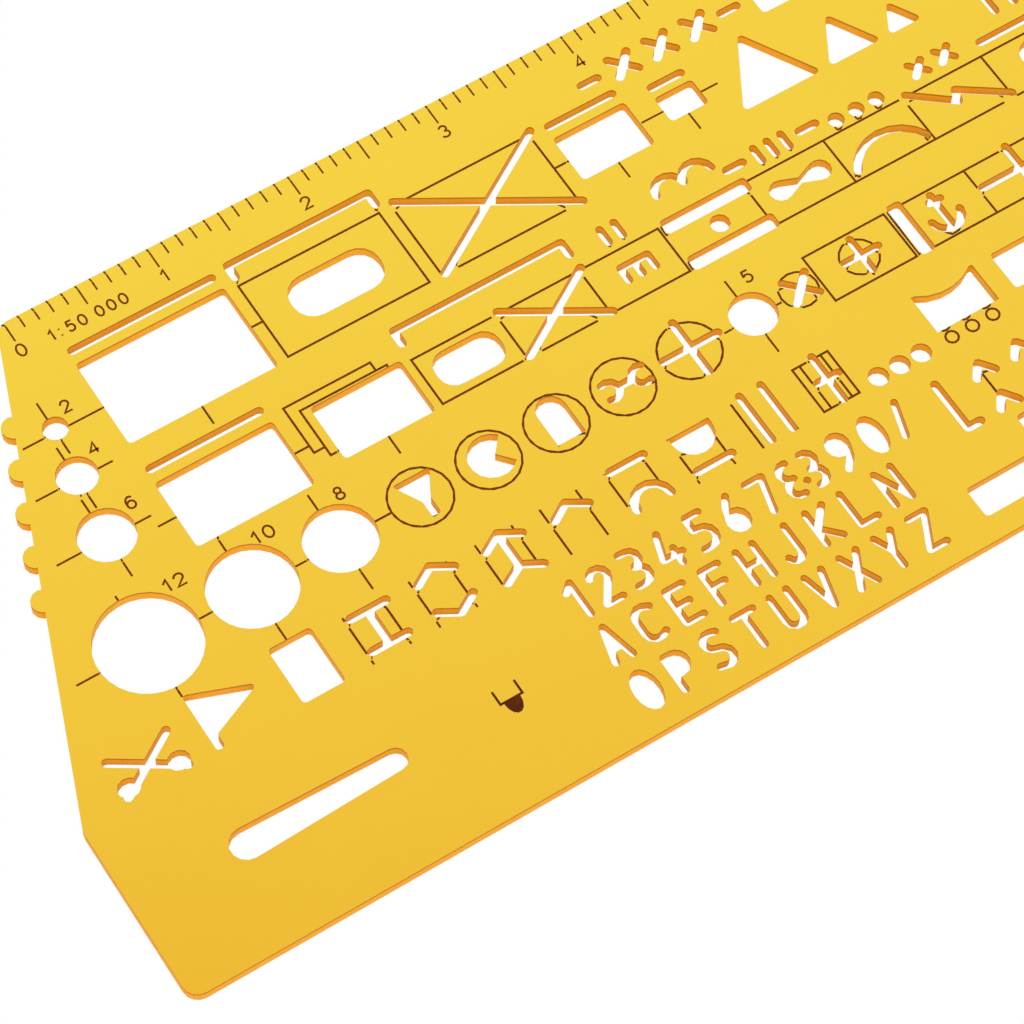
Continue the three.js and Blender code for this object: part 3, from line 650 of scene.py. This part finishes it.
figureStrokes = {  # curves turn in degrees
    "0": [bend(0.5, 0.5, 0.5, 0.5, 0, 360, 24)],
    "1": [[(0.0, 0.72), (1.0, 1.0), (1.0, 0.0)]],
    "2": [bend(0.5, 0.70, 0.48, 0.30, 175, -32) + [(0.0, 0.0), (1.0, 0.0)]],
    "3": [bend(0.47, 0.75, 0.42, 0.25, 160, -90), bend(0.47, 0.26, 0.5, 0.26, 90, -160)],
    "4": [[(0.74, 0.0), (0.74, 1.0), (0.0, 0.28), (1.0, 0.28)]],
    "5": [[(0.92, 1.0), (0.2, 1.0), (0.07, 0.5)], bend(0.47, 0.33, 0.5, 0.33, 145, -150)],
    "6": [bend(0.5, 0.32, 0.5, 0.32, 0, 360, 24), bend(0.56, 0.52, 0.56, 0.48, 48, 200)],
    "7": [[(0.0, 1.0), (1.0, 1.0), (0.36, 0.0)]],
    "8": [bend(0.5, 0.76, 0.4, 0.24, 0, 360, 22), bend(0.5, 0.26, 0.5, 0.27, 0, 360, 24)],
    ":": [[(0.5, 0.02), (0.5, 0.14)], [(0.5, 0.66), (0.5, 0.78)]],
    " ": [],
}
figureWidths = {"1": 0.46, ":": 0.60, " ": 0.0}
figure = {
    "pen": 0.27,
    "gap": 0.78,
    "closeEnough": 1e-6,
}


def addFigures(bm, text, left, right, foot, head):
    pen = figure["pen"]
    widths = [figureWidths.get(sign, 1.0) for sign in text]
    total = sum(widths) + figure["gap"] * (len(text) - 1)
    unit = (right - left - pen) / total
    height = head - foot - pen
    x = left + pen / 2
    for sign, wide in zip(text, widths):
        # each stroke lies a little higher than the last, so that no faces share a plane
        for order, stroke in enumerate(figureStrokes[sign]):
            loop = math.dist(stroke[0], stroke[-1]) < figure["closeEnough"]
            points = stroke[:-1] if loop else stroke
            path = [(x + u * wide * unit, foot + pen / 2 + v * height) for u, v in points]
            addRibbon(bm, path, pen, loop, order * penLine["strokeRise"])
        x += (wide + figure["gap"]) * unit


def addSeenFigures(bm, text, left, right, foot, head):
    x0, y0 = seen(left, foot)
    x1, y1 = seen(right, head)
    addFigures(bm, text, x0, x1, y0, y1)


def makeScaleFigures():
    bm = bmesh.new()
    for i in range(scale["figureCount"]):
        sign = str(i)
        x = scale["figureEvery"] * i + (scale["oneShift"] if sign == "1" else 0.0)
        wide = (scale["figureWidth"] - figure["pen"]) * figureWidths.get(sign, 1.0) + figure["pen"]
        addSeenFigures(bm, sign, x - wide / 2, x + wide / 2, scale["figureFoot"], scale["figureHead"])
    inkPiece("scaleFigures", bm)
    bm = bmesh.new()
    addSeenFigures(bm, scale["ratio"], *scale["ratioFit"])
    inkPiece("scaleRatio", bm)


makeScaleFigures()

# sizes beside the round holes: left, right, foot and head of each, as seen
holeSizes = {
    "2": (0.0, 1.3, -15.0, -13.1),
    "4": (-0.1, 1.3, -21.7, -19.9),
    "6": (0.0, 1.3, -30.5, -28.6),
    "12": (-1.8, 1.1, -42.4, -40.5),
    "10": (10.2, 13.2, -42.4, -40.5),
    "8": (21.5, 22.8, -42.4, -40.5),
    "5": (79.4, 80.8, -42.8, -40.9),
}


def makeHoleFigures():
    bm = bmesh.new()
    for text, fit in holeSizes.items():
        addSeenFigures(bm, text, *fit)
    inkPiece("holeFigures", bm)


makeHoleFigures()

# centre lines of the round holes: the centre, and how far they reach, as seen
centreLines = {
    "two": {"at": (-1.88, -16.1), "upright": (-11.9, -20.0), "level": (-6.6, 4.5)},
    "four": {"at": (-2.88, -23.05), "upright": (-18.5, -28.1), "level": (-8.75, 1.7)},
    "six": {"at": (-3.88, -31.85), "upright": (-26.2, -38.2), "level": (-10.9, 1.85)},
    "twelve": {"at": (-6.88, -46.7), "upright": (-39.4, -54.85), "level": (-16.7, 1.5)},
    "ten": {"at": (7.13, -46.7), "upright": (-39.4, -55.1), "level": (1.5, 14.5)},
    "eight": {"at": (19.13, -46.7), "upright": (-39.7, -54.5), "level": (14.5, 22.0)},
    "five": {"at": (77.75, -46.7), "upright": (-41.0, -52.8), "level": (73.2, 81.6)},
}


def makeCentreLines():
    lines = []
    for line in centreLines.values():
        x, y = line["at"]
        head, foot = [seen(x, end)[1] for end in line["upright"]]
        left, right = [seen(end, y)[0] for end in line["level"]]
        lines.append((x, foot, x, head))
        lines.append((left, y, right, y))
    return addLines("centreLines", lines)


makeCentreLines()

# marks that lead from one window or frame to the next: both ends, as seen
leadMarks = {
    "underWideWindow": (14.45, -22.7, 14.45, -25.5),
    "leftOfSecondWindow": (1.75, -34.1, 4.3, -34.1),
    "underThirdWindow": (75.87, -19.8, 75.87, -22.3),
    "leftOfSmallWindow": (81.5, -16.3, 84.7, -16.3),
    "rightOfSmallWindow": (90.3, -16.3, 92.9, -16.3),
    "underSmallWindow": (87.3, -18.2, 87.3, -20.9),
    "underStackedWindow": (31.2, -38.0, 31.2, -40.7),
}


def makeLeadMarks():
    lines = []
    for x0, y0, x1, y1 in leadMarks.values():
        lines.append((*seen(x0, y0), *seen(x1, y1)))
    return addLines("leadMarks", lines)


makeLeadMarks()

# rails that the symbols of the fourth row stand between, left and right of each symbol
rails = {
    "head": -55.4,
    "foot": -62.5,
    "pairs": {
        "beam": (14.07, 19.15),
        "hexagon": (23.15, 28.25),
        "pylon": (32.32, 37.4),
        "roof": (41.36, 46.45),
        "shelter": (50.47, 55.55),
        "bowl": (59.48, 64.6),
    },
}


def makeRailEnds():
    lines = []
    for pair in rails["pairs"].values():
        for x in pair:
            lines.append((x, rails["foot"], x, rails["head"]))
    return addLines("railEnds", lines)


makeRailEnds()

# the rings that a cross divides run on to its slots
crossedRings = {
    "reach": 27,  # degrees to each side of a slot
    "rings": {
        "large": {"at": (68.65, -46.5), "radius": 4.03, "firstSlot": 0},
        "small": {"at": (84.75, -46.33), "radius": 2.55, "firstSlot": 45},
        "inCell": {"at": (93.75, -46.33), "radius": 2.55, "firstSlot": 0},
    },
}


def makeRingEnds():
    bm = bmesh.new()
    reach = crossedRings["reach"]
    for ring in crossedRings["rings"].values():
        for quarter in range(4):
            slotTurn = ring["firstSlot"] + 90 * quarter
            addArc(bm, *ring["at"], ring["radius"], slotTurn - reach, slotTurn + reach)
    return inkPiece("ringEnds", bm)


makeRingEnds()
print("thin print laid")

# floor, backdrop and lamps
studio = {
    "floorDrop": 0.05 * mm,
    "floorSize": 6.0,
    "floorColor": (0.90, 0.90, 0.89, 1.0),
    "floorRoughness": 0.9,
    "backgroundColor": (1.0, 1.0, 1.0, 1.0),
    "backgroundShare": 0.99,
    "overhead": 0.12,
    "overheadFrom": (0.35, 0.80),  # height on the sky, from the side to straight up
    "worldColor": (1.0, 1.0, 1.0, 1.0),
    "worldStrength": 0.55,
}


def seenByEye(tree):
    # 1 where the ray comes straight from the camera, off a gloss or through the plastic
    path = addNode(tree, "ShaderNodeLightPath").outputs
    first = combine(tree, "MAXIMUM", path["Is Camera Ray"], path["Is Glossy Ray"])
    return combine(tree, "MAXIMUM", first, path["Is Transmission Ray"])


def makeFloor():
    material, tree, output = newMaterial("paleFloor")
    matte = addNode(tree, "ShaderNodeBsdfPrincipled", None,
                    {"Base Color": studio["floorColor"], "Roughness": studio["floorRoughness"]})
    white = addNode(tree, "ShaderNodeEmission", None,
                    {"Color": studio["backgroundColor"], "Strength": 1.0})
    share = combine(tree, "MULTIPLY", seenByEye(tree), studio["backgroundShare"])
    mixed = mixShaders(tree, share, matte.outputs[0], white.outputs[0])
    tree.links.new(mixed, output.inputs["Surface"])

    half = studio["floorSize"] / 2
    bm = bmesh.new()
    corners = [(-half, -half), (half, -half), (half, half), (-half, half)]
    bm.faces.new([bm.verts.new((x, y, -studio["floorDrop"])) for x, y in corners])
    mesh = bpy.data.meshes.new("floor")
    bm.to_mesh(mesh)
    bm.free()
    mesh.materials.append(material)
    floor = bpy.data.objects.new("floor", mesh)
    scene.collection.objects.link(floor)


def makeWorld():
    world = bpy.data.worlds.new("studioWorld")
    world.use_nodes = True
    tree = world.node_tree
    tree.nodes.clear()
    output = tree.nodes.new("ShaderNodeOutputWorld")
    light = addNode(tree, "ShaderNodeBackground", None,
                    {"Color": studio["worldColor"], "Strength": studio["worldStrength"]})
    spot = addNode(tree, "ShaderNodeTexCoord")
    parts = addNode(tree, "ShaderNodeSeparateXYZ", None, {"Vector": spot.outputs["Generated"]})
    overhead = spread(tree, parts.outputs["Z"], *studio["overheadFrom"], 1.0, studio["overhead"])
    white = addNode(tree, "ShaderNodeBackground", None,
                    {"Color": studio["backgroundColor"], "Strength": overhead})
    mixed = mixShaders(tree, seenByEye(tree), light.outputs[0], white.outputs[0])
    tree.links.new(mixed, output.inputs["Surface"])
    scene.world = world


# two soft lamps, aimed at the middle of the part
lamps = {
    "keyLamp": {"at": (-0.55, -0.35, 0.75), "size": 0.7, "power": 5.5},
    "fillLamp": {"at": (0.45, -0.60, 0.60), "size": 0.8, "power": 3.5},
}


def addLamps():
    for name, lamp in lamps.items():
        data = bpy.data.lights.new(name, "AREA")
        data.shape = "SQUARE"
        data.size = lamp["size"]
        data.energy = lamp["power"]
        made = bpy.data.objects.new(name, data)
        scene.collection.objects.link(made)
        made.location = lamp["at"]
        made.visible_transmission = False  # or the cut walls mirror the lamp as a pale edge
        made.rotation_euler = (-Vector(lamp["at"])).to_track_quat("-Z", "Y").to_euler()


makeFloor()
makeWorld()
addLamps()
print("studio set")
